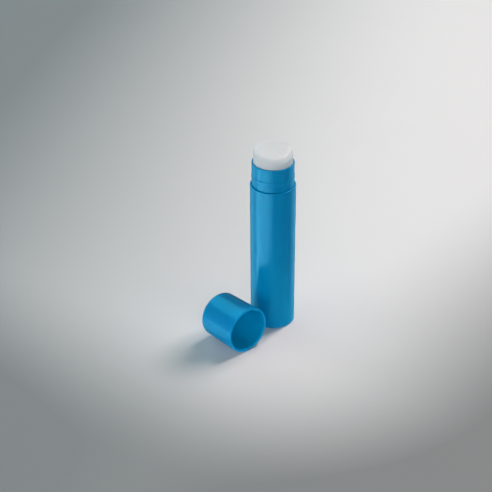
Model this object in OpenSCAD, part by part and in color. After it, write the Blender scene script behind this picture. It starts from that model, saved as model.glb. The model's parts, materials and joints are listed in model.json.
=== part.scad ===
// Lip balm stick: a smooth twist-up barrel with a push-on cap, shown with the cap taken off.
// Turning the inner tube in the barrel winds the elevator, and the balm on it, up the spindle.
// Z is up, and the origin is the centre of the barrel's foot. All sizes are in millimetres.

/* [Barrel] */
// Outside diameter of the barrel at its rim
barrel_d = 16; // [13:0.1:20]
// Height of the barrel, from the foot to the rim
barrel_h = 55; // [40:0.5:70]
// Thickness of the barrel's wall at its rim
barrel_wall = 0.55; // [0.5:0.01:1.2]
// How much narrower the moulding draft leaves the foot, in diameter
barrel_draft = 0.3; // [0:0.02:0.4]
// Thickness of the floor
floor_t = 1.2; // [0.8:0.1:2.5]
// Radius of the edge round the foot
foot_round = 0.5; // [0.1:0.1:1]
// Radius of the edge round the rim
rim_round = 0.12; // [0.02:0.02:0.2]

/* [Inner tube] */
// Thickness of the tube's wall
tube_wall = 0.46; // [0.4:0.01:0.8]
// Height of the neck above the barrel's rim
neck_h = 8.6; // [6.5:0.1:9.4]
// How far the bead that grips the cap stands out of the neck
bead_t = 0.1; // [0.06:0.01:0.16]
// Height of that bead along the neck
bead_h = 1.8; // [1:0.1:2.4]
// Height of the bead's lower edge above the barrel's rim
bead_rise = 2.2; // [1:0.1:3]
// Number of keys down the bore
key_count = 4; // [2:1:6]
// Width of a key
key_w = 0.8; // [0.5:0.1:1.2]
// Height of a key above the bore
key_t = 0.3; // [0.2:0.05:0.4]

/* [Snap ring] */
// How far the tube's snap ring stands out
snap_t = 0.14; // [0.1:0.02:0.16]
// Height of the snap ring
snap_h = 1; // [0.6:0.1:1.6]
// Depth of the snap ring below the barrel's rim
snap_drop = 4; // [3:0.5:8]

/* [Spindle] */
// Diameter of the core of the screw
core_d = 3; // [2.4:0.1:3.4]
// Diameter over the thread
thread_d = 4.4; // [4:0.1:4.8]
// Rise of the thread in one turn
thread_lead = 5; // [5:0.5:8]
// Depth of the screw's tip below the neck's rim
screw_drop = 6.6; // [5:0.1:12]
// Thickness of the hexagonal foot
hex_t = 1.2; // [0.8:0.1:2]

/* [Elevator] */
// Height of the cup's wall
cup_h = 6; // [4:0.5:7.5]
// Wall of the cup
cup_wall = 0.7; // [0.6:0.1:1]
// Thickness of the cup's floor
cup_floor_t = 0.8; // [0.6:0.1:1.5]
// Wall of the hub round the screw
hub_wall = 1; // [0.8:0.05:1.4]
// Height of the hub
hub_h = 8; // [6.5:0.5:10]
// Thickness of the webs between hub and wall
web_t = 0.5; // [0.3:0.1:0.8]
// Diameter of the lugs that follow the thread
lug_d = 1.2; // [1:0.1:1.3]

/* [Balm] */
// How far the elevator is wound up from the bottom
wound_up = 5.2; // [0:0.1:8]
// How far the middle of the balm's top stands above the neck
balm_show = 5.5; // [3:0.1:6]
// Rise of the crown from its edge to its middle
crown_rise = 1; // [0.2:0.1:1.4]
// Radius of the balm's worn edge
balm_round = 1.7; // [0.6:0.1:2.4]

/* [Cap] */
// Length of the cap
cap_l = 16.2; // [15.8:0.1:20]
// Thickness of the cap's wall at its mouth
cap_wall = 0.83; // [0.7:0.01:1.2]
// How much narrower the moulding draft leaves the closed end, in diameter
cap_draft = 0.72; // [0.2:0.02:0.8]
// Thickness of the closed end
cap_end_t = 1; // [0.7:0.1:1.4]
// Radius of the edge round the closed end
cap_round = 1.3; // [0.5:0.1:1.8]
// Radius of the edges round the mouth
lip_round = 0.15; // [0.05:0.05:0.2]
// Gap between the lying cap and the barrel beside it
cap_aside = 4.42; // [1:0.02:12]
// How far the lying cap's closed end is behind the barrel's axis
cap_behind = 5.9; // [-10:0.1:20]

/* [Hidden] */
// Running gap round the inner tube in the barrel's bore, and the step above it to the neck
run_gap = 0.09;
neck_step = 0.04;
rim_gap = 0.05;
// Gap between the bead and the cap's bore
cap_gap = 0.05;
// Gap between flat faces of pieces that turn on each other
turn_gap = 0.3;
// Sliding gaps of the elevator and of the balm in the tube
cup_gap = 0.12;
balm_gap = 0.05;
// Gap round a key in its slot
key_gap = 0.15;
// Gap between the screw and what runs on it
thread_gap = 0.13;
// Gap round the snap ring in its groove
snap_gap = 0.1;
// Gap round the hexagonal foot in its pocket
hex_gap = 0.05;
// Room left above the keys and the screw's tip when the elevator is right down
end_room = 0.5;
// How far cuts run past the face that they start from
over = 0.5;
// How far added features sink into the wall that carries them
root = 0.15;
// Wall and height of the ring round the hexagonal pocket, and the room from it to the tube
pocket_wall = 0.9;
pocket_h = 1;
pocket_room = 0.8;
// Shallow moulded ring under the foot: its distance from the foot's edge, width and depth
sink_edge = 1.1;
sink_w = 2;
sink_t = 0.3;
// Radius of the edges of the neck's rim
neck_round = 0.12;
// Depth of the keys' upper ends below the neck's rim
key_drop = 7;
// Lugs in the thread, and the height of the first above the cup's underside
lug_count = 2;
lug_rise = 1.2;
// Widths of the thread's crest and of each flank, in degrees round the section
crest_angle = 120;
flank_angle = 60;
section_count = 12;
slices_per_turn = 10;
arc_steps = 8;
$fn = 96;

barrel_r = barrel_d / 2;
barrel_foot_r = barrel_r - barrel_draft / 2;
barrel_bore_r = barrel_r - barrel_wall;
tube_r = barrel_bore_r - run_gap;
tube_bore_r = tube_r - tube_wall;
tube_z = floor_t + turn_gap;
neck_r = tube_r + neck_step;
neck_z = barrel_h + rim_gap;
neck_top = barrel_h + neck_h;
bead_r = neck_r + bead_t;
key_top = neck_top - key_drop;
snap_z = barrel_h - snap_drop;
hex_r = tube_bore_r - pocket_room - pocket_wall;
screw_z = floor_t + hex_t;
screw_top = neck_top - screw_drop;
cup_r = tube_bore_r - cup_gap;
cup_bore_r = cup_r - cup_wall;
cup_z = screw_z + turn_gap + wound_up;
hub_bore_r = thread_d / 2 + thread_gap;
hub_r = hub_bore_r + hub_wall;
balm_r = tube_bore_r - balm_gap;
balm_z = cup_z + cup_floor_t;
balm_top = neck_top + balm_show;
cap_bore_r = bead_r + cap_gap;
cap_mouth_r = cap_bore_r + cap_wall;
cap_end_r = cap_mouth_r - cap_draft / 2;
cap_x = -barrel_r - cap_aside - cap_mouth_r;
// The drafted side of the cap lies flat, so its axis rises a little towards the mouth
cap_tilt = atan((cap_mouth_r - cap_end_r) / (cap_l - cap_round - lip_round));
cap_z = cap_end_r * cos(cap_tilt) - cap_round * sin(cap_tilt);

// Points of an arc about a centre, from one angle to another
function arc(centre, r, from, to) = [
    for (i = [0:arc_steps])
        let (a = from + (to - from) * i / arc_steps)
        centre + r * [cos(a), sin(a)]
];

// Places copies evenly round the axis
module round_the_axis(count) {
    for (i = [0:count - 1])
        rotate([0, 0, i * 360 / count])
            children();
}

// A straight ring that stands at a height
module ring(outer_r, inner_r, z, h) {
    translate([0, 0, z])
        difference() {
            cylinder(r = outer_r, h = h);
            translate([0, 0, -over])
                cylinder(r = inner_r, h = h + 2 * over);
        }
}

// Outer casing: closed foot, groove for the snap ring, and the pocket that holds the spindle
module barrel() {
    sink_r = barrel_foot_r - foot_round - sink_edge;
    outline = concat(
        [[0, 0]],
        arc([barrel_foot_r - foot_round, foot_round], foot_round, -90, 0),
        arc([barrel_r - rim_round, barrel_h - rim_round], rim_round, 0, 90),
        [[barrel_bore_r, barrel_h], [barrel_bore_r, floor_t], [0, floor_t]]
    );
    color("#1287c4")
        union() {
            difference() {
                rotate_extrude()
                    polygon(outline);
                translate([0, 0, snap_z - snap_gap])
                    cylinder(r = tube_r + snap_t + snap_gap, h = snap_h + 2 * snap_gap);
                ring(sink_r, sink_r - sink_w, -over, sink_t + over);
            }
            translate([0, 0, floor_t - root])
                difference() {
                    cylinder(r = hex_r + pocket_wall, h = pocket_h + root);
                    translate([0, 0, root])
                        cylinder(r = hex_r + hex_gap, h = pocket_h + over, $fn = 6);
                }
        }
}

// Radius of the screw's section at an angle from the middle of its one thread
function thread_r(a) =
    let (
        away = a > 180 ? 360 - a : a,
        share = (crest_angle / 2 + flank_angle - away) / flank_angle
    )
    core_d / 2 + (thread_d - core_d) / 2 * max(0, min(1, share));

// Right-hand screw on a hexagonal foot, which the barrel turns
module spindle() {
    screw_h = screw_top - screw_z;
    color("#f2f2ee")
        union() {
            translate([0, 0, floor_t])
                cylinder(r = hex_r, h = hex_t, $fn = 6);
            translate([0, 0, screw_z - root])
                linear_extrude(
                    height = screw_h + root,
                    twist = -360 * (screw_h + root) / thread_lead,
                    slices = ceil(slices_per_turn * (screw_h + root) / thread_lead),
                    $fn = section_count
                )
                    polygon([
                        for (i = [0:section_count - 1])
                            let (a = i * 360 / section_count)
                            thread_r(a) * [cos(a), sin(a)]
                    ]);
        }
}

// One tube makes the neck and the guide below it: beads outside, keys inside
module inner_tube() {
    bead_z = barrel_h + bead_rise;
    wall = concat(
        [[tube_bore_r, tube_z], [tube_r, tube_z], [tube_r, neck_z], [neck_r, neck_z]],
        arc([neck_r - neck_round, neck_top - neck_round], neck_round, 0, 90),
        arc([tube_bore_r + neck_round, neck_top - neck_round], neck_round, 90, 180)
    );
    bead = [
        [neck_r - root, bead_z],
        [neck_r, bead_z],
        [bead_r, bead_z + 2 * bead_t],
        [bead_r, bead_z + bead_h - 2 * bead_t],
        [neck_r, bead_z + bead_h],
        [neck_r - root, bead_z + bead_h]
    ];
    color("#1287c4")
        union() {
            rotate_extrude()
                polygon(wall);
            rotate_extrude()
                polygon(bead);
            ring(tube_r + snap_t, tube_r - root, snap_z, snap_h);
            round_the_axis(key_count)
                translate([tube_bore_r - key_t, -key_w / 2, tube_z])
                    cube([key_t + root, key_w, key_top - tube_z]);
        }
}

// Slots that let the elevator or the balm pass the keys
module key_slots(z, h) {
    round_the_axis(key_count)
        translate([tube_bore_r - key_t - key_gap, -key_w / 2 - key_gap, z])
            cube([key_t + key_gap + over, key_w + 2 * key_gap, h]);
}

// Webs between hub and wall, halfway between the keys, which stop the balm turning in the cup
module webs() {
    rotate([0, 0, 180 / key_count])
        round_the_axis(key_count)
            translate([hub_r - root, -web_t / 2, cup_z])
                cube([cup_bore_r - hub_r + 2 * root, web_t, cup_h / 2]);
}

// One lug in the screw's groove, at a height above the cup's underside
module lug(rise) {
    lug_tip_r = core_d / 2 + thread_gap;
    climb = cup_z + rise - screw_z + root;
    rotate([0, 0, 180 + 360 * climb / thread_lead])
        translate([lug_tip_r, 0, cup_z + rise])
            rotate([0, 90, 0])
                cylinder(d = lug_d, h = hub_bore_r + root - lug_tip_r);
}

// Cup that carries the balm, with a hub round the screw and two lugs in its thread
module elevator() {
    color("#f2f2ee")
        union() {
            difference() {
                union() {
                    ring(cup_r, cup_bore_r, cup_z, cup_h);
                    ring(cup_r, hub_bore_r, cup_z, cup_floor_t);
                    ring(hub_r, hub_bore_r, cup_z, hub_h);
                    webs();
                }
                key_slots(cup_z - over, cup_h + 2 * over);
            }
            for (i = [0:lug_count - 1])
                lug(lug_rise + i * thread_lead / lug_count);
        }
}

// Cast stick: crowned top, a bore for the screw, and a foot that fills the cup
module balm() {
    crown_r = (balm_r * balm_r + crown_rise * crown_rise) / 2 / crown_rise;
    crown_z = balm_top - crown_r;
    edge_r = balm_r - balm_round;
    edge_reach = crown_r - balm_round;
    edge_z = crown_z + sqrt(edge_reach * edge_reach - edge_r * edge_r);
    edge_angle = acos(edge_r / edge_reach);
    cup_top = cup_z + cup_h;
    bore_top = screw_top + wound_up + end_room;
    outline = concat(
        [[hub_bore_r, balm_z], [cup_bore_r, balm_z], [cup_bore_r, cup_top], [balm_r, cup_top]],
        arc([edge_r, edge_z], balm_round, 0, edge_angle),
        arc([0, crown_z], crown_r, edge_angle, 90),
        [[0, bore_top], [hub_bore_r, bore_top]]
    );
    color("#eef0f0")
        difference() {
            rotate_extrude()
                polygon(outline);
            translate([0, 0, balm_z - over])
                cylinder(r = hub_r, h = hub_h - cup_floor_t + over);
            webs();
            key_slots(balm_z - over, key_top + wound_up + end_room - balm_z + over);
        }
}

// The cap, lying on its side on the surface that the barrel stands on
module cap() {
    outline = concat(
        [[0, 0]],
        arc([cap_end_r - cap_round, cap_round], cap_round, -90, 0),
        arc([cap_mouth_r - lip_round, cap_l - lip_round], lip_round, 0, 90),
        arc([cap_bore_r + lip_round, cap_l - lip_round], lip_round, 90, 180),
        [[cap_bore_r, cap_end_t], [0, cap_end_t]]
    );
    color("#1287c4")
        translate([cap_x, cap_behind, cap_z])
            rotate([90 - cap_tilt, 0, 0])
                rotate_extrude()
                    polygon(outline);
}

barrel();
spindle();
inner_tube();
elevator();
balm();
cap();
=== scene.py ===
"""The looks of a lip balm stick: a blue twist-up case and cap, waxy white balm, and a pale studio.

Every turned piece is a closed profile carried once round an axis. Lengths are in metres.
"""
import json
import math

import bpy
import numpy as np
from mathutils import Matrix, Vector

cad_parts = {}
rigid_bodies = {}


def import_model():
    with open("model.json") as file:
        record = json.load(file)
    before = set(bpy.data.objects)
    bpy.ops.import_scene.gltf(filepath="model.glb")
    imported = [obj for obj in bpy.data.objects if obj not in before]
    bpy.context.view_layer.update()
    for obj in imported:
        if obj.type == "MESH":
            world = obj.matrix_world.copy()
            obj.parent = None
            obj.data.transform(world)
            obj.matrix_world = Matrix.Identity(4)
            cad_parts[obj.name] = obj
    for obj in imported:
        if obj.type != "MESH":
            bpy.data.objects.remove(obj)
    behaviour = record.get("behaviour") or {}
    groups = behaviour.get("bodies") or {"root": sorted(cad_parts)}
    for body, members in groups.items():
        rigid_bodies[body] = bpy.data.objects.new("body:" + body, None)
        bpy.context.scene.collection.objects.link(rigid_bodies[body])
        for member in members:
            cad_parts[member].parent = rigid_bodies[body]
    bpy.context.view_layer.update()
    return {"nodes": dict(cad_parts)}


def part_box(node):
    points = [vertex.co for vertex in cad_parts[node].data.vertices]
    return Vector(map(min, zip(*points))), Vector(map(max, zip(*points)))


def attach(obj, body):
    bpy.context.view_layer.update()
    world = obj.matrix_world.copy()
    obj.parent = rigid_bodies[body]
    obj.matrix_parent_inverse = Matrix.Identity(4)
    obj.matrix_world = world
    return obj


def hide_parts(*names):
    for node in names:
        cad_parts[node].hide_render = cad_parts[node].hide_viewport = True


bl_info = {
    "name": "Lip Balm Stick",
    "version": (1, 0, 0),
    "blender": (4, 5, 0),
    "location": "3D View > Sidebar > Lip Balm",
    "description": "Dresses a lip balm stick with its cap off, and lights it on a pale floor",
    "category": "Add Mesh",
}

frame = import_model()

MM = 0.001
# The viewer's heading in the object's frame, in degrees clockwise from +Y
HEADING = 40.9


def height(node):
    """Lowest and highest point of a solid."""
    low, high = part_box(node)
    return low.z, high.z


def girth(node):
    """Radius of a solid that is turned about the Z axis."""
    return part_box(node)[1].x


# Sizes that the solids fix
RIM_Z = height("barrel")[1]
TUBE_Z, NECK_Z = height("inner_tube")
BALM_Z, CROWN_Z = height("balm")
CUP_Z = height("elevator")[0]
BARREL_R = girth("barrel")
BALM_R = girth("balm")

# Keys down the tube's bore, and the tip of the spindle
KEY_COUNT = 4
KEY_TOP = NECK_Z - 7 * MM
SCREW_TOP = NECK_Z - 6.6 * MM
# How far the balm's grooves and bore reach past them, so that it still clears them when wound right down
WIND_DOWN = 5.7 * MM


# Profiles


def rounded(corners, steps=7):
    """Profile through corners (r, z, fillet): each corner becomes an arc that is tangent to its two sides.

    The arc's centre is corner + fillet / sin(half) along the bisector, and it runs evenly between the
    two tangent points. Straight sides get a support point near each end, so that shading stays flat.
    """
    pts = np.array([c[:2] for c in corners], float)
    rad = np.array([c[2] for c in corners], float)
    before = np.roll(pts, 1, axis=0) - pts
    after = np.roll(pts, -1, axis=0) - pts
    before /= np.linalg.norm(before, axis=1)[:, None]
    after /= np.linalg.norm(after, axis=1)[:, None]
    out = []
    for p, r, u, v in zip(pts, rad, before, after):
        if r == 0:
            out.append(p[None])
            continue
        half = math.acos(np.clip(u @ v, -1, 1)) / 2
        bisector = (u + v) / np.linalg.norm(u + v)
        centre = p + bisector * r / math.sin(half)
        start = p + u * r / math.tan(half) - centre
        end = p + v * r / math.tan(half) - centre
        t = np.linspace(0, 1, steps)[:, None]
        sweep = math.pi - 2 * half
        ray = (np.sin((1 - t) * sweep) * start + np.sin(t * sweep) * end) / math.sin(sweep)
        out.append(centre + ray)
    return np.concatenate(out)


def with_supports(loop, reach=0.12 * MM, longest=1.2 * MM):
    """The same closed profile with extra points: one near each end of a long side, and more between."""
    out = []
    for a, b in zip(loop, np.roll(loop, -1, axis=0)):
        gap = np.linalg.norm(b - a)
        out.append(a[None])
        if gap > 4 * reach and max(a[0], b[0]) > 0:
            count = max(2, math.ceil(gap / longest) + 1)
            inner = np.linspace(reach, gap - reach, count) / gap
            out.append(a + (b - a) * inner[:, None])
    return np.concatenate(out)


def profile_normals(loop):
    """Outward directions of a closed profile that runs counter-clockwise in the (r, z) plane."""
    along = np.roll(loop, -1, axis=0) - np.roll(loop, 1, axis=0)
    out = np.column_stack((along[:, 1], -along[:, 0]))
    return out / np.maximum(np.linalg.norm(out, axis=1)[:, None], 1e-12)


# Meshes


def turned(name, loop, segments, relief=None, lift=None, place=None, inside=None):
    """Mesh of a closed profile turned about Z: point (r, z) goes to (r cos t, r sin t, z) for each angle t.

    relief(t, r, z) is how far each point moves along the profile's outward normal, and lift(t, r, z) is how
    far it then moves along the axis. Points on the axis are one vertex each. place is a matrix that carries
    the finished vertices to their place. inside(r, z) is 1 on the walls inside and 0 elsewhere.
    """
    t = np.linspace(0, 2 * math.pi, segments, endpoint=False)
    r = np.repeat(loop[:, :1], segments, axis=1)
    z = np.repeat(loop[:, 1:], segments, axis=1)
    on_axis = loop[:, 0] < 1e-7
    if relief is not None:
        push = relief(np.broadcast_to(t, r.shape), r, z) * (~on_axis)[:, None]
        normal = profile_normals(loop)
        r, z = r + push * normal[:, :1], z + push * normal[:, 1:]
    if lift is not None:
        z = z + lift(np.broadcast_to(t, r.shape), r, z)
    co = np.stack((r * np.cos(t), r * np.sin(t), z), axis=2)
    counts = np.where(on_axis, 1, segments)
    first = np.concatenate(([0], np.cumsum(counts)[:-1]))
    index = first[:, None] + np.where(on_axis[:, None], 0, np.arange(segments)[None])
    keep = np.ones(r.shape, bool)
    keep[on_axis, 1:] = False
    verts = co[keep]
    if place is not None:
        m = np.array(place)
        verts = verts @ m[:3, :3].T + m[:3, 3]
    low, high = index, np.roll(index, -1, axis=0)
    low_next, high_next = np.roll(low, -1, axis=1), np.roll(high, -1, axis=1)
    axis_low, axis_high = on_axis, np.roll(on_axis, -1)
    quads = np.stack((low, low_next, high_next, high), axis=2)[~axis_low & ~axis_high].reshape(-1, 4)
    tops = np.stack((low, low_next, high), axis=2)[~axis_low & axis_high].reshape(-1, 3)
    feet = np.stack((low, high_next, high), axis=2)[axis_low & ~axis_high].reshape(-1, 3)
    piece = mesh_piece(name, verts, [quads, tops, feet])
    # Mask of the walls inside, where the blue plastic's colour adds painted light.
    if inside is not None:
        share = np.repeat(inside(loop[:, :1], loop[:, 1:]).astype(np.float32), segments, axis=1)[keep]
        piece.data.attributes.new("inside", "FLOAT", "POINT").data.foreach_set("value", share)
    return piece


def mesh_piece(name, verts, face_groups):
    """Object at the origin whose mesh has these vertices and these arrays of faces, shaded smooth."""
    groups = [g for g in face_groups if len(g)]
    corners = np.concatenate([g.ravel() for g in groups]).astype(np.int32)
    sizes = np.concatenate([np.full(len(g), g.shape[1]) for g in groups]).astype(np.int32)
    starts = np.concatenate(([0], np.cumsum(sizes)[:-1])).astype(np.int32)
    mesh = bpy.data.meshes.new(name)
    mesh.vertices.add(len(verts))
    mesh.vertices.foreach_set("co", np.ascontiguousarray(verts, np.float32).ravel())
    mesh.loops.add(len(corners))
    mesh.loops.foreach_set("vertex_index", corners)
    mesh.polygons.add(len(sizes))
    mesh.polygons.foreach_set("loop_start", starts)
    mesh.polygons.foreach_set("loop_total", sizes)
    mesh.update(calc_edges=True)
    mesh.validate()
    mesh.polygons.foreach_set("use_smooth", np.ones(len(sizes), bool))
    piece = bpy.data.objects.new(name, mesh)
    bpy.context.scene.collection.objects.link(piece)
    return piece


def flat_ring(name, centre, inner, outer, segments=128):
    """Flat ring on z = 0: points centre + r (cos t, sin t) at two radii r; a disc if the inner one is 0."""
    t = np.linspace(0, 2 * math.pi, segments, endpoint=False)
    circle = np.column_stack((np.cos(t), np.sin(t), np.zeros(segments)))
    centre = np.array((*centre, 0))
    now = np.arange(segments)
    after = np.roll(now, -1)
    if inner == 0:
        verts = np.concatenate((circle * outer, np.zeros((1, 3)))) + centre
        return mesh_piece(name, verts, [np.column_stack((now, after, np.full(segments, segments)))])
    verts = np.concatenate((circle * inner, circle * outer)) + centre
    return mesh_piece(name, verts, [np.column_stack((now + segments, after + segments, after, now))])


def show_as(piece, material, slot, body, *nodes):
    """Gives a piece its material, lets it ride on a body and stand for solids. The slot is not used."""
    piece.data.materials.clear()
    piece.data.materials.append(material)
    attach(piece, body)
    if nodes:
        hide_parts(*nodes)


def smooth_step(x, low, high):
    """0 below low, 1 above high, and 3u^2 - 2u^3 between, where u goes from 0 to 1."""
    u = np.clip((x - low) / (high - low), 0, 1)
    return u * u * (3 - 2 * u)


def near_key(t, r, half_width, blur):
    """1 within half_width of the middle of the nearest key, fading to 0 over blur."""
    pitch = 2 * math.pi / KEY_COUNT
    off = np.abs((t + pitch / 2) % pitch - pitch / 2) * r
    return 1 - smooth_step(off, half_width, half_width + blur)


# Materials


class Shader:
    """A material being built: adds nodes and joins them with few words."""

    def __init__(self, name):
        self.material = bpy.data.materials.new(name)
        self.material.use_nodes = True
        self.tree = self.material.node_tree
        self.surface = self.tree.nodes["Principled BSDF"]
        self.place = self.tree.nodes.new("ShaderNodeTexCoord").outputs["Object"]

    def node(self, kind, **settings):
        made = self.tree.nodes.new(kind)
        for key, value in settings.items():
            setattr(made, key, value)
        return made

    def join(self, source, target):
        self.tree.links.new(source, target)

    def set(self, **values):
        for key, value in values.items():
            self.surface.inputs[key.replace("_", " ")].default_value = value

    def noise(self, scale, detail=3.0, rough=0.5, stretch=(1, 1, 1)):
        """Noise over the piece's own coordinates, in periods a metre; stretch squeezes it along an axis."""
        mapping = self.node("ShaderNodeMapping")
        mapping.inputs["Scale"].default_value = stretch
        self.join(self.place, mapping.inputs["Vector"])
        made = self.node("ShaderNodeTexNoise")
        made.inputs["Scale"].default_value = scale
        made.inputs["Detail"].default_value = detail
        made.inputs["Roughness"].default_value = rough
        self.join(mapping.outputs["Vector"], made.inputs["Vector"])
        return made.outputs["Fac"]

    def measure(self, operation, vector):
        """Dot product of the place with a fixed vector, or its distance from one."""
        made = self.node("ShaderNodeVectorMath", operation=operation)
        made.inputs[1].default_value = vector
        self.join(self.place, made.inputs[0])
        return made.outputs["Value"]

    def remap(self, source, low, high, to_low, to_high, kind="LINEAR"):
        """The span from low to high carried to another span, evenly or by 3u^2 - 2u^3 (SMOOTHSTEP)."""
        made = self.node("ShaderNodeMapRange", interpolation_type=kind)
        made.inputs["From Min"].default_value = low
        made.inputs["From Max"].default_value = high
        made.inputs["To Min"].default_value = to_low
        made.inputs["To Max"].default_value = to_high
        self.join(source, made.inputs["Value"])
        return made.outputs["Result"]

    def math(self, operation, a, b):
        """Product, greater one and so on of two values."""
        made = self.node("ShaderNodeMath", operation=operation)
        self.join(a, made.inputs[0])
        self.join(b, made.inputs[1])
        return made.outputs["Value"]

    def mix(self, factor, a, b):
        """A colour between a and b by a factor; a and b are colours or sockets."""
        made = self.node("ShaderNodeMix", data_type="RGBA")
        for value, socket in ((factor, made.inputs[0]), (a, made.inputs[6]), (b, made.inputs[7])):
            if isinstance(value, bpy.types.NodeSocket):
                self.join(value, socket)
            elif isinstance(value, (int, float)):
                socket.default_value = value
            else:
                socket.default_value = (*value, 1)
        return made.outputs[2]

    def bump(self, source, depth, under=None):
        """Relief of a value over a depth, laid over the relief under it."""
        made = self.node("ShaderNodeBump")
        made.inputs["Strength"].default_value = 1.0
        made.inputs["Distance"].default_value = depth
        self.join(source, made.inputs["Height"])
        if under is not None:
            self.join(under, made.inputs["Normal"])
        self.join(made.outputs["Normal"], self.surface.inputs["Normal"])
        return made.outputs["Normal"]


def linear(colour):
    """Linear light from a colour as it is written on screen."""
    c = np.array(colour[:3], float)
    return tuple(np.where(c <= 0.04045, c / 12.92, ((c + 0.055) / 1.055) ** 2.4))


def moulded_blue(name, colour, gloss, polish):
    """Blue plastic with a polished skin: flow marks in the colour, fine grain, faint scratches.

    The walls inside, marked by the attribute "inside", get painted light: their colour is paler, so the
    hollow does not look shaded.
    """
    s = Shader(name)
    base = np.array(linear(colour))
    flow = s.noise(90, detail=4, stretch=(1, 1, 0.4))
    skin = s.mix(flow, tuple(base * 0.95), tuple(base * 1.05))
    # Painted light: the walls inside get a paler colour in place of the light that fills the hollow.
    painted_light_inside = s.node("ShaderNodeAttribute", attribute_name="inside").outputs["Fac"]
    s.join(s.mix(painted_light_inside, skin, tuple(base * (1, 1.6, 1.25))), s.surface.inputs["Base Color"])
    scuffs = s.noise(1500, detail=2, rough=0.6, stretch=(1, 1, 0.05))
    s.join(s.remap(scuffs, 0.35, 0.75, gloss - 0.03, gloss + 0.05), s.surface.inputs["Roughness"])
    s.join(s.remap(scuffs, 0.35, 0.75, polish - 0.02, polish + 0.05), s.surface.inputs["Coat Roughness"])
    s.set(Coat_Weight=0.4, Coat_IOR=1.5)
    s.set(Specular_IOR_Level=0.65, IOR=1.5)
    s.surface.inputs["Specular Tint"].default_value = (0.14, 0.68, 1.0, 1)
    s.set(Subsurface_Weight=0.8, Subsurface_Radius=(0.3, 1.0, 1.0), Subsurface_Scale=2.4 * MM)
    grain = s.bump(s.noise(5200, detail=2), 0.0015 * MM)
    s.bump(s.noise(160, detail=1), 0.012 * MM, under=grain)
    return s.material


def case_material(looks):
    """The one blue plastic that the barrel, the neck and the cap share."""
    name = "satin_blue_plastic"
    return bpy.data.materials.get(name) or moulded_blue(
        name, looks.case_colour, looks.case_gloss, looks.case_polish)


def waxy_balm(name, colour):
    """White waxy balm: light soaks in and spreads, the skin is softly uneven, with bloom and fine drags."""
    s = Shader(name)
    base = np.array(linear(colour))
    cloud = s.noise(260, detail=4, rough=0.6)
    s.join(s.mix(s.remap(cloud, 0.3, 0.7, 0, 1), tuple(base * 0.965), tuple(np.minimum(base * 1.01, 1))),
           s.surface.inputs["Base Color"])
    bloom = s.noise(900, detail=3, rough=0.6)
    s.join(s.remap(bloom, 0.3, 0.7, 0.34, 0.52), s.surface.inputs["Roughness"])
    s.set(Specular_IOR_Level=0.3, IOR=1.44)
    s.set(Subsurface_Weight=1.0, Subsurface_Radius=(1.0, 0.9, 0.85), Subsurface_Scale=2.0 * MM)
    skin = s.bump(s.noise(700, detail=4, rough=0.6), 0.025 * MM)
    s.bump(s.noise(2600, detail=2, stretch=(1, 1, 0.12)), 0.006 * MM, under=skin)
    return s.material


def natural_white(name, colour):
    """Uncoloured plastic of the parts inside: milky, with a dull moulded skin."""
    s = Shader(name)
    base = np.array(linear(colour))
    s.join(s.mix(s.noise(400, detail=3), tuple(base * 0.95), tuple(base)), s.surface.inputs["Base Color"])
    s.join(s.remap(s.noise(1800), 0.3, 0.7, 0.38, 0.5), s.surface.inputs["Roughness"])
    s.set(Subsurface_Weight=0.4, Subsurface_Radius=(1.0, 0.9, 0.8), Subsurface_Scale=0.6 * MM)
    s.bump(s.noise(2500, detail=2), 0.004 * MM)
    return s.material


# Settings


class StickLooks(bpy.types.PropertyGroup):
    """Colours and surface finish of the stick."""

    case_colour: bpy.props.FloatVectorProperty(
        name="Case colour", description="Colour of the barrel, the neck and the cap",
        subtype="COLOR", size=3, min=0, max=1, default=(0.0, 0.54, 0.755))
    case_gloss: bpy.props.FloatProperty(
        name="Case roughness", description="Of the plastic's body: 0 is a mirror, 1 is chalk",
        subtype="FACTOR", min=0, max=1, default=0.42)
    case_polish: bpy.props.FloatProperty(
        name="Skin roughness", description="Of the plastic's thin moulded skin: 0 is a mirror, 1 is chalk",
        subtype="FACTOR", min=0, max=1, default=0.14)
    balm_colour: bpy.props.FloatVectorProperty(
        name="Balm colour", description="Colour of the wax", subtype="COLOR", size=3,
        min=0, max=1, default=(0.845, 0.845, 0.85))
    works_colour: bpy.props.FloatVectorProperty(
        name="Works colour", description="Colour of the spindle and the elevator", subtype="COLOR",
        size=3, min=0, max=1, default=(0.92, 0.92, 0.90))


class StickShape(bpy.types.PropertyGroup):
    """Small sizes that the looks add to the solids."""

    segments: bpy.props.IntProperty(
        name="Segments", description="Faces round each turned piece", min=64, max=512, default=288)
    balm_slant: bpy.props.FloatProperty(
        name="Balm slant", description="How much lower use has left one side of the balm's top",
        subtype="DISTANCE", unit="LENGTH", min=0, max=3 * MM, default=2.0 * MM)
    balm_wear: bpy.props.FloatProperty(
        name="Balm wear", description="How deep use has worn the balm's top", subtype="DISTANCE",
        unit="LENGTH", min=0, max=0.4 * MM, default=0.10 * MM)


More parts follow.
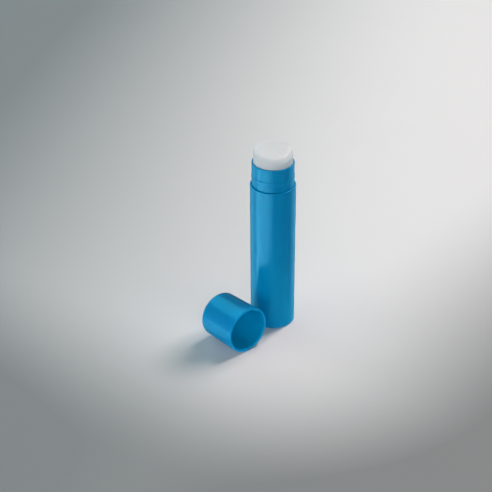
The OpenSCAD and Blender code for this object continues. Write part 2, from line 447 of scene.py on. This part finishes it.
class StudioLights(bpy.types.PropertyGroup):
    """Light and floor of the studio."""

    sky: bpy.props.FloatProperty(
        name="Sky", description="Strength of the even light from all round", min=0, max=2, default=0.10)
    horizon: bpy.props.FloatProperty(
        name="Horizon", description="Strength of the band of light along the horizon", min=0, max=10,
        default=1.1)
    key: bpy.props.FloatProperty(
        name="Key light", description="Power of the high light at the back right", subtype="POWER",
        unit="POWER", min=0, max=50, default=8.6)
    left_fill: bpy.props.FloatProperty(
        name="Left fill", description="Power of the soft light from the left", subtype="POWER",
        unit="POWER", min=0, max=50, default=4.8)
    back_fill: bpy.props.FloatProperty(
        name="Back fill", description="Power of the soft light from the back left", subtype="POWER",
        unit="POWER", min=0, max=50, default=1.2)
    right_fill: bpy.props.FloatProperty(
        name="Right fill", description="Power of the soft light from the front right", subtype="POWER",
        unit="POWER", min=0, max=50, default=1.8)
    front_fill: bpy.props.FloatProperty(
        name="Front fill", description="Power of the soft light from behind the viewer", subtype="POWER",
        unit="POWER", min=0, max=50, default=1.6)
    sheen: bpy.props.FloatProperty(
        name="Sheen", description="Power of the front left panel that only gloss sees; others follow it",
        subtype="POWER", unit="POWER", min=0, max=100, default=24.5)
    top_sheen: bpy.props.FloatProperty(
        name="Top sheen", description="Power of the overhead panel that only gloss sees",
        subtype="POWER", unit="POWER", min=0, max=100, default=11.0)
    floor_colour: bpy.props.FloatVectorProperty(
        name="Floor colour", description="Colour of the floor by the stick", subtype="COLOR", size=3,
        min=0, max=1, default=(0.90, 0.89, 0.89))


# Pieces


def barrel_profile():
    """Outer casing: foot with its moulded ring, drafted side, rim, bore with the snap groove, floor."""
    foot_r = BARREL_R - 0.15 * MM
    ring_r = foot_r - 1.6 * MM
    ring_inner_r = ring_r - 2 * MM
    ring_z = 0.3 * MM
    bore_r = BARREL_R - 0.55 * MM
    groove_r = bore_r + 0.15 * MM
    groove_z = RIM_Z - 4.1 * MM
    groove_top = groove_z + 1.2 * MM
    floor_z = 1.2 * MM
    corners = [
        (0, 0, 0),
        (ring_inner_r, 0, 0.08 * MM),
        (ring_inner_r, ring_z, 0.05 * MM),
        (ring_r, ring_z, 0.05 * MM),
        (ring_r, 0, 0.08 * MM),
        (foot_r, 0, 0.5 * MM),
        (BARREL_R, RIM_Z, 0.12 * MM),
        (bore_r, RIM_Z, 0.06 * MM),
        (bore_r, groove_top, 0.04 * MM),
        (groove_r, groove_top, 0.04 * MM),
        (groove_r, groove_z, 0.04 * MM),
        (bore_r, groove_z, 0.04 * MM),
        (bore_r, floor_z, 0.2 * MM),
        (0, floor_z, 0),
    ]
    return with_supports(rounded(corners))


class BALM_OT_barrel(bpy.types.Operator):
    """Makes the barrel, the long outer casing"""

    bl_idname = "balm_stick.barrel"
    bl_label = "Barrel"

    def execute(self, context):
        scene = context.scene
        gate_r, gate_depth = 0.9 * MM, 0.2 * MM

        def relief(t, r, z):
            return -gate_depth * np.exp(-(r / gate_r) ** 2) * (z < 0.1 * MM)

        piece = turned("barrel_shell", barrel_profile(), scene.stick_shape.segments, relief)
        show_as(piece, case_material(scene.stick_looks), "case_blue", "barrel", "barrel")
        return {"FINISHED"}


def tube_profile():
    """Inner tube: plain guide below the rim, snap ring, then the neck with its bead and thin lip."""
    tube_r = BARREL_R - 0.64 * MM
    snap_r = tube_r + 0.14 * MM
    neck_r = tube_r + 0.04 * MM
    bead_r = neck_r + 0.1 * MM
    bore_r = tube_r - 0.46 * MM
    bead_z = RIM_Z + 2.2 * MM
    snap_z = RIM_Z - 4 * MM
    step_z = RIM_Z + 0.05 * MM
    corners = [
        (bore_r, TUBE_Z, 0.05 * MM),
        (tube_r, TUBE_Z, 0.05 * MM),
        (tube_r, snap_z, 0.03 * MM),
        (snap_r, snap_z, 0.03 * MM),
        (snap_r, snap_z + 1 * MM, 0.03 * MM),
        (tube_r, snap_z + 1 * MM, 0.03 * MM),
        (tube_r, step_z, 0.01 * MM),
        (neck_r, step_z, 0.01 * MM),
        (neck_r, bead_z - 0.1 * MM, 1.2 * MM),
        (bead_r, bead_z + 0.4 * MM, 0.8 * MM),
        (bead_r, bead_z + 1.4 * MM, 0.8 * MM),
        (neck_r, bead_z + 1.9 * MM, 1.2 * MM),
        (neck_r, NECK_Z, 0.14 * MM),
        (bore_r, NECK_Z, 0.14 * MM),
    ]
    return with_supports(rounded(corners)), bore_r


class BALM_OT_inner_tube(bpy.types.Operator):
    """Makes the inner tube, whose top is the neck that the cap grips"""

    bl_idname = "balm_stick.inner_tube"
    bl_label = "Inner tube"

    def execute(self, context):
        scene = context.scene
        loop, bore_r = tube_profile()
        key_height = 0.3 * MM

        def relief(t, r, z):
            inside = (r < bore_r + 0.02 * MM) & (z < KEY_TOP)
            return key_height * near_key(t, r, 0.4 * MM, 0.12 * MM) * inside

        piece = turned("neck_tube", loop, scene.stick_shape.segments, relief)
        show_as(piece, case_material(scene.stick_looks), "case_blue", "inner_tube", "inner_tube")
        return {"FINISHED"}


def balm_profile():
    """Cast stick: crowned top, straight side, narrow foot in the cup, bore for the spindle."""
    bore_r = 2.33 * MM
    cup_top = CUP_Z + 6 * MM
    cup_bore_r = BALM_R - 0.77 * MM
    bore_top = SCREW_TOP + WIND_DOWN
    side_top = CROWN_Z - 0.3 * MM
    corners = [
        (bore_r, BALM_Z, 0.1 * MM),
        (cup_bore_r, BALM_Z, 0.1 * MM),
        (cup_bore_r, cup_top, 0.05 * MM),
        (BALM_R, cup_top, 0.1 * MM),
        (BALM_R, side_top, 1.7 * MM),
        (0.4 * BALM_R, CROWN_Z - 0.01 * MM, 12 * MM),
        (0, CROWN_Z, 0),
        (0, bore_top, 0),
        (bore_r, bore_top, 0.1 * MM),
    ]
    return with_supports(rounded(corners, steps=13), longest=0.9 * MM)


class BALM_OT_balm(bpy.types.Operator):
    """Makes the balm, a cast stick of wax with grooves where it ran round the keys"""

    bl_idname = "balm_stick.balm"
    bl_label = "Balm"

    def execute(self, context):
        scene = context.scene
        wear, slant = scene.stick_shape.balm_wear, scene.stick_shape.balm_slant
        groove_top, groove_depth = KEY_TOP + WIND_DOWN, 0.42 * MM
        # The lowest side of the worn top is 14 degrees round from the viewer
        low_side = math.radians(HEADING - 14)

        def relief(t, r, z):
            skin = r > 0.5 * BALM_R
            below = 1 - smooth_step(z, groove_top - 0.4 * MM, groove_top)
            return -groove_depth * near_key(t, r, 0.45 * MM, 0.15 * MM) * below * skin

        def lift(t, r, z):
            """Lowers the top by slant u^2.4, u being 1 at the low side and 0 opposite, and by faint waves."""
            x, y = r * np.cos(t) / BALM_R, r * np.sin(t) / BALM_R
            u = np.clip(0.5 - 0.5 * (x * math.sin(low_side) + y * math.cos(low_side)), 0, 1)
            waves = 0.5 + 0.25 * np.sin(5.1 * x - 2.3 * y + 0.7) + 0.25 * np.sin(3.3 * y + 4.1 * x * y)
            near_top = smooth_step(z, CROWN_Z - 6 * MM, CROWN_Z - 0.6 * MM)
            return -(wear * waves + slant * u ** 2.4) * near_top

        piece = turned("balm_stick", balm_profile(), scene.stick_shape.segments, relief, lift)
        wax = waxy_balm("balm_wax", scene.stick_looks.balm_colour)
        show_as(piece, wax, "balm_white", "elevator", "balm")
        return {"FINISHED"}


# Length of the cap, radius of its closed end, rounding of that end's edge, and where it lies along Y
CAP_LENGTH, CAP_END_R, CAP_EDGE, CAP_END_Y = 16.2 * MM, 8.02 * MM, 1.3 * MM, 5.9 * MM


def cap_profile():
    """Cap in its own frame with the closed end down: rounded closed end, drafted side, thin lip."""
    mouth_r, bore_r, floor_z = 8.38 * MM, 7.55 * MM, 1 * MM
    lip = 0.15 * MM
    draft = (mouth_r - CAP_END_R) / (CAP_LENGTH - CAP_EDGE - lip)
    corners = [
        (0, 0, 0),
        (CAP_END_R - draft * CAP_EDGE, 0, CAP_EDGE),
        (mouth_r + draft * lip, CAP_LENGTH, 0.16 * MM),
        (bore_r, CAP_LENGTH, 0.16 * MM),
        (bore_r, floor_z, 0.4 * MM),
        (0, floor_z, 0),
    ]
    return with_supports(rounded(corners, steps=11)), draft


class BALM_OT_cap(bpy.types.Operator):
    """Makes the cap, lying on its side beside the barrel"""

    bl_idname = "balm_stick.cap"
    bl_label = "Cap"

    def execute(self, context):
        scene = context.scene
        loop, draft = cap_profile()
        low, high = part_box("cap")
        tilt = math.atan(draft)
        rise = CAP_END_R * math.cos(tilt) - CAP_EDGE * math.sin(tilt)
        place = (Matrix.Translation(((low.x + high.x) / 2, CAP_END_Y, rise))
                 @ Matrix.Rotation(math.pi / 2 - tilt, 4, "X"))
        gate_r, gate_depth = 0.7 * MM, 0.12 * MM

        def relief(t, r, z):
            return -gate_depth * np.exp(-(r / gate_r) ** 2) * (z < 0.1 * MM)

        # Walls inside the cap, which the plastic paints paler: painted light in the hollow.
        def inside(r, z):
            return (r < 7.6 * MM) & (z > 0.9 * MM) & (z < CAP_LENGTH - 0.2 * MM)

        piece = turned("cap_shell", loop, scene.stick_shape.segments, relief, place=place, inside=inside)
        show_as(piece, case_material(scene.stick_looks), "case_blue", "cap", "cap")
        return {"FINISHED"}


class BALM_OT_works(bpy.types.Operator):
    """Finishes the spindle and the elevator, which the casing hides"""

    bl_idname = "balm_stick.works"
    bl_label = "Works"

    def execute(self, context):
        white = natural_white("natural_white_plastic", context.scene.stick_looks.works_colour)
        for node in ("spindle", "elevator"):
            piece = frame["nodes"][node]
            piece.data.materials.clear()
            piece.data.materials.append(white)
        return {"FINISHED"}


# Studio


def studio_point(right, away, up):
    """Place of a point that the viewer sees so far to the right of, away from and above the stick."""
    a = math.radians(HEADING)
    cos, sin = math.cos(a), math.sin(a)
    return Vector((right * cos + away * sin, -right * sin + away * cos, up))


def area_light(name, place, target, size, power, colour=(1, 1, 1), gloss=True, soft=True, turn=0):
    """Rectangular light that faces a target. The viewer doesn't see it, and gloss or soft light may."""
    data = bpy.data.lights.new(name, "AREA")
    data.shape = "RECTANGLE"
    data.size, data.size_y = size
    data.energy = power
    data.color = colour
    lamp = bpy.data.objects.new(name, data)
    lamp.location = place
    lamp.rotation_euler = (target - place).to_track_quat("-Z", "Y").to_euler()
    lamp.rotation_euler.rotate_axis("Z", -math.radians(turn))
    lamp.visible_camera = False
    lamp.visible_glossy = gloss
    lamp.visible_diffuse = lamp.visible_transmission = soft
    bpy.context.scene.collection.objects.link(lamp)
    return lamp


def set_camera():
    """Camera where the photograph was taken from: 30 degrees above, with a long lens and a little roll."""
    data = bpy.data.cameras.new("viewer")
    data.sensor_width = 36
    data.lens = 105.0
    data.shift_x = -0.001
    data.clip_start, data.clip_end = 0.01, 20
    camera = bpy.data.objects.new("viewer", data)
    a, pitch, roll = math.radians(HEADING), math.radians(30.33), math.radians(-0.35)
    right = Vector((math.cos(a), -math.sin(a), 0))
    forward = Vector((math.sin(a) * math.cos(pitch), math.cos(a) * math.cos(pitch), -math.sin(pitch)))
    up = right.cross(forward)
    right, up = (right * math.cos(roll) + up * math.sin(roll),
                 up * math.cos(roll) - right * math.sin(roll))
    turn = Matrix((right, up, -forward)).transposed().to_4x4()
    camera.matrix_world = Matrix.Translation(studio_point(-0.0093, -0.4393, 0.2870)) @ turn
    bpy.context.scene.collection.objects.link(camera)
    bpy.context.scene.camera = camera


# Painted shade on the floor: soft falls that darken its colour towards the corners of the view. For each, the
# bearing in which it brightens, in degrees left of the viewer's right, then the start and the width of the
# fall, and the least share of the floor's colour
PAINTED_SHADE_FALLS = ((-12.6, -0.225, 0.27, 0.2), (59.6, -0.097, 0.08, 0.38), (143.7, -0.115, 0.105, 0.2))
# Patch of floor that gloss sees: its middle, how far it is solid, and where it has thinned out
NEAR_FLOOR = (-13 * MM, -24 * MM)
NEAR_SOLID, NEAR_EDGE = 18 * MM, 50 * MM
FLOOR_EDGE = 6.0


def set_floor(colour):
    """Wide pale floor with faint mottling, and painted shade that darkens its colour in the corners of the
    view and fades out again far off.

    Gloss sees only a patch of it near the stick, thinning out towards its edge, in a tint with little red: a
    painted reflection tint, so the plastic mirrors it bluish.
    """
    s = Shader("studio_floor")
    base = np.array(linear(colour))
    # Faint mottling, then painted shade: the falls darken the floor's colour towards the corners of the view.
    mottle_and_painted_shade = s.remap(s.noise(30, detail=2), 0, 1, 0.99, 1.01)
    for bearing, start, width, least in PAINTED_SHADE_FALLS:
        turn = math.radians(bearing - HEADING)
        along = s.measure("DOT_PRODUCT", (math.cos(turn), math.sin(turn), 0))
        mottle_and_painted_shade = s.math("MULTIPLY", mottle_and_painted_shade, s.remap(along, start, start + width, least, 1, "SMOOTHSTEP"))
    far_off = s.remap(s.measure("DISTANCE", (0, 0, 0)), 0.45, 1.4, 0.3, 0.9, "SMOOTHSTEP")
    mottle_and_painted_shade = s.math("MAXIMUM", mottle_and_painted_shade, far_off)
    glossy = s.node("ShaderNodeLightPath").outputs["Is Glossy Ray"]
    # Painted reflection tint: gloss sees the floor with little red, so the plastic mirrors it bluish.
    floor_and_painted_reflection = s.mix(glossy, tuple(base), tuple(base * (0.1, 1.0, 1.1)))
    s.join(s.mix(mottle_and_painted_shade, (0, 0, 0), floor_and_painted_reflection), s.surface.inputs["Base Color"])
    s.set(Roughness=0.6, Specular_IOR_Level=0.3)
    off_centre = s.measure("DISTANCE", (*NEAR_FLOOR, 0))
    thin = s.math("MULTIPLY", glossy, s.remap(off_centre, NEAR_SOLID, NEAR_EDGE, 0, 1, "SMOOTHSTEP"))
    blend = s.node("ShaderNodeMixShader")
    s.join(thin, blend.inputs["Fac"])
    s.join(s.surface.outputs["BSDF"], blend.inputs[1])
    s.join(s.node("ShaderNodeBsdfTransparent").outputs["BSDF"], blend.inputs[2])
    s.join(blend.outputs["Shader"], s.tree.nodes["Material Output"].inputs["Surface"])
    near = flat_ring("floor_near", NEAR_FLOOR, 0, NEAR_EDGE)
    far = flat_ring("floor_far", NEAR_FLOOR, NEAR_EDGE, FLOOR_EDGE)
    for floor in (near, far):
        floor.data.materials.append(s.material)
    far.visible_glossy = False


# Rise of a ray at which the horizon's band ends, and strengths of the room that gloss sees and of the wall
# that the viewer sees
BAND_RISE, ROOM, WALL = 0.4, 0.1, 0.5


def set_sky(sky, horizon):
    """Even light from all round with a brighter band along the horizon.

    The strength falls from horizon to sky by 3u^2 - 2u^3, where u is the ray's rise over BAND_RISE. Gloss
    sees a dim room and the viewer a pale neutral wall.
    """
    world = bpy.data.worlds.new("studio")
    bpy.context.scene.world = world
    world.use_nodes = True
    tree = world.node_tree

    def span(source, low, high, to_low, to_high, kind="LINEAR"):
        made = tree.nodes.new("ShaderNodeMapRange")
        made.interpolation_type = kind
        ends = {"From Min": low, "From Max": high, "To Min": to_low, "To Max": to_high}
        for key, value in ends.items():
            if isinstance(value, bpy.types.NodeSocket):
                tree.links.new(value, made.inputs[key])
            else:
                made.inputs[key].default_value = value
        tree.links.new(source, made.inputs["Value"])
        return made.outputs["Result"]

    way = tree.nodes.new("ShaderNodeSeparateXYZ")
    tree.links.new(tree.nodes.new("ShaderNodeTexCoord").outputs["Object"], way.inputs[0])
    path = tree.nodes.new("ShaderNodeLightPath")
    light = span(way.outputs["Z"], 0, BAND_RISE, horizon, sky, "SMOOTHSTEP")
    light = span(path.outputs["Is Glossy Ray"], 0, 1, light, ROOM)
    light = span(path.outputs["Is Camera Ray"], 0, 1, light, WALL)
    colour = tree.nodes.new("ShaderNodeMix")
    colour.data_type = "RGBA"
    colour.inputs[6].default_value = (0.62, 0.98, 1.16, 1)
    colour.inputs[7].default_value = (1, 1, 1, 1)
    tree.links.new(path.outputs["Is Camera Ray"], colour.inputs[0])
    back = tree.nodes["Background"]
    tree.links.new(colour.outputs[2], back.inputs["Color"])
    tree.links.new(light, back.inputs["Strength"])


# Lights: name, place (right, away, up), size and colour. The setting of the same name gives the power
LIGHTS = (
    ("key", (0.42, 0.40, 1.01), (0.22, 0.22), (1.12, 1.0, 0.95)),
    ("left_fill", (-0.9, -0.2, 0.22), (1.0, 0.4), (0.96, 1.0, 0.96)),
    ("back_fill", (-0.6, 0.8, 0.5), (0.5, 0.4), (1, 1, 1)),
    ("right_fill", (0.45, -0.85, 0.22), (0.5, 0.4), (1, 1, 1)),
    ("front_fill", (0.05, -0.87, 0.5), (0.4, 0.3), (1, 1, 1)),
)
# Upright panels that only gloss sees: name, bearing in degrees from the viewer round to the left, width,
# and share of the sheen setting
PANELS = (
    ("middle_sheen", 13, 0.36, 0.12),
    ("front_sheen", 57.5, 1.37, 1),
    ("side_sheen", 118.5, 1.0, 0.1),
    ("right_sheen", -128, 0.9, 0.085),
)
# Height of the panels' middle: what the barrel mirrors lies below the floor, which gloss doesn't see
PANEL_Z, PANEL_HEIGHT = -0.6, 0.8


class BALM_OT_studio(bpy.types.Operator):
    """Makes the camera, the floor, the sky and the lights"""

    bl_idname = "balm_stick.studio"
    bl_label = "Studio"

    def execute(self, context):
        lights = context.scene.studio_lights
        context.scene.view_settings.view_transform = "Standard"
        set_camera()
        set_floor(lights.floor_colour)
        set_sky(lights.sky, lights.horizon)
        middle = Vector((0, 0, 0.03))
        for name, place, size, colour in LIGHTS:
            area_light(name, studio_point(*place), middle, size, getattr(lights, name), colour,
                       gloss=name == "key")
        for name, bearing, width, share in PANELS:
            turn = math.radians(bearing)
            place = studio_point(-math.sin(turn), -math.cos(turn), PANEL_Z)
            area_light(name, place, Vector((0, 0, PANEL_Z)), (width, PANEL_HEIGHT), share * lights.sheen,
                       (0.24, 0.85, 1.08), soft=False)
        area_light("back_sheen", studio_point(0.05, 1.0, 0.22), middle, (0.8, 0.5), 0.02 * lights.sheen,
                   (0.02, 0.85, 1.0), soft=False)
        over = studio_point(-0.54, 0.757, 0.9)
        area_light("top_sheen", over, Vector((over.x, over.y, 0)), (1.15, 1.2), lights.top_sheen,
                   (0.1, 0.85, 1.0), soft=False, turn=HEADING + 45)
        return {"FINISHED"}


# Panel and register

STEPS = (BALM_OT_barrel, BALM_OT_inner_tube, BALM_OT_balm, BALM_OT_cap, BALM_OT_works, BALM_OT_studio)
GROUPS = (StickLooks, StickShape, StudioLights)


class BALM_PT_panel(bpy.types.Panel):
    """Lists the pieces of the lip balm stick in the sidebar"""

    bl_idname = "BALM_PT_panel"
    bl_label = "Lip Balm Stick"
    bl_space_type = "VIEW_3D"
    bl_region_type = "UI"
    bl_category = "Lip Balm"

    def draw(self, context):
        scene = context.scene
        for group in (scene.stick_looks, scene.stick_shape, scene.studio_lights):
            box = self.layout.box()
            for key in group.__annotations__:
                box.prop(group, key)
        for step in STEPS:
            self.layout.operator(step.bl_idname)


CLASSES = GROUPS + STEPS + (BALM_PT_panel,)


def register():
    for cls in CLASSES:
        bpy.utils.register_class(cls)
    bpy.types.Scene.stick_looks = bpy.props.PointerProperty(type=StickLooks)
    bpy.types.Scene.stick_shape = bpy.props.PointerProperty(type=StickShape)
    bpy.types.Scene.studio_lights = bpy.props.PointerProperty(type=StudioLights)


def unregister():
    del bpy.types.Scene.stick_looks, bpy.types.Scene.stick_shape, bpy.types.Scene.studio_lights
    for cls in reversed(CLASSES):
        bpy.utils.unregister_class(cls)


def main():
    """Registers the classes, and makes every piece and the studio."""
    register()
    for step in STEPS:
        group, name = step.bl_idname.split(".")
        getattr(getattr(bpy.ops, group), name)()


if __name__ == "__main__":
    main()
